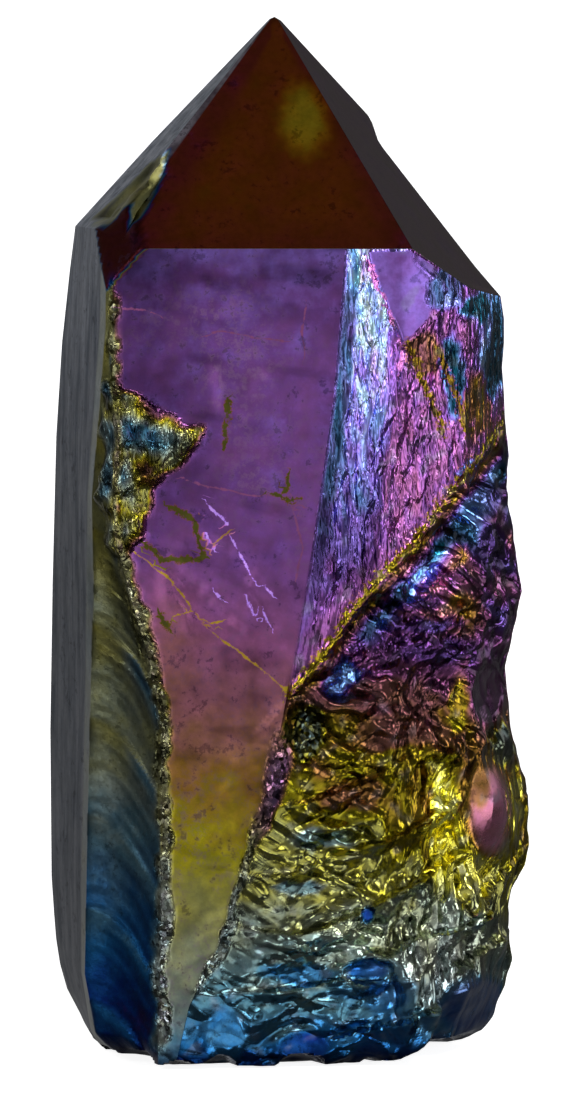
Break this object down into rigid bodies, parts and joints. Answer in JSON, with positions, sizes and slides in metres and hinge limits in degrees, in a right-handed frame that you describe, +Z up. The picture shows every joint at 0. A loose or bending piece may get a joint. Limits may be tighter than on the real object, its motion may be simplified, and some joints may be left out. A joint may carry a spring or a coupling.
{
  "type": "titanium aura quartz point",
  "caption": "Upright quartz crystal point with a polished six-sided tip, broken rippled sides, a flat base and an opaque iridescent metal-oxide film",
  "frame": {"origin": "centre of the bounding box at the base, on the surface the crystal stands on", "axes": "+Z up along the crystal to its tip, -Y out of the large purple front face, +X to the right as that face is seen"},
  "size_m": [0.048, 0.0369, 0.104],
  "materials": {
    "aura_film": "opaque metal-oxide film on quartz, shiny as metal: purple front face, amber tip face, grey left face, gold, olive and blue towards the base"
  },
  "bodies": {
    "root": {"quartz_point": "aura_film"}
  },
  "joints": []
}
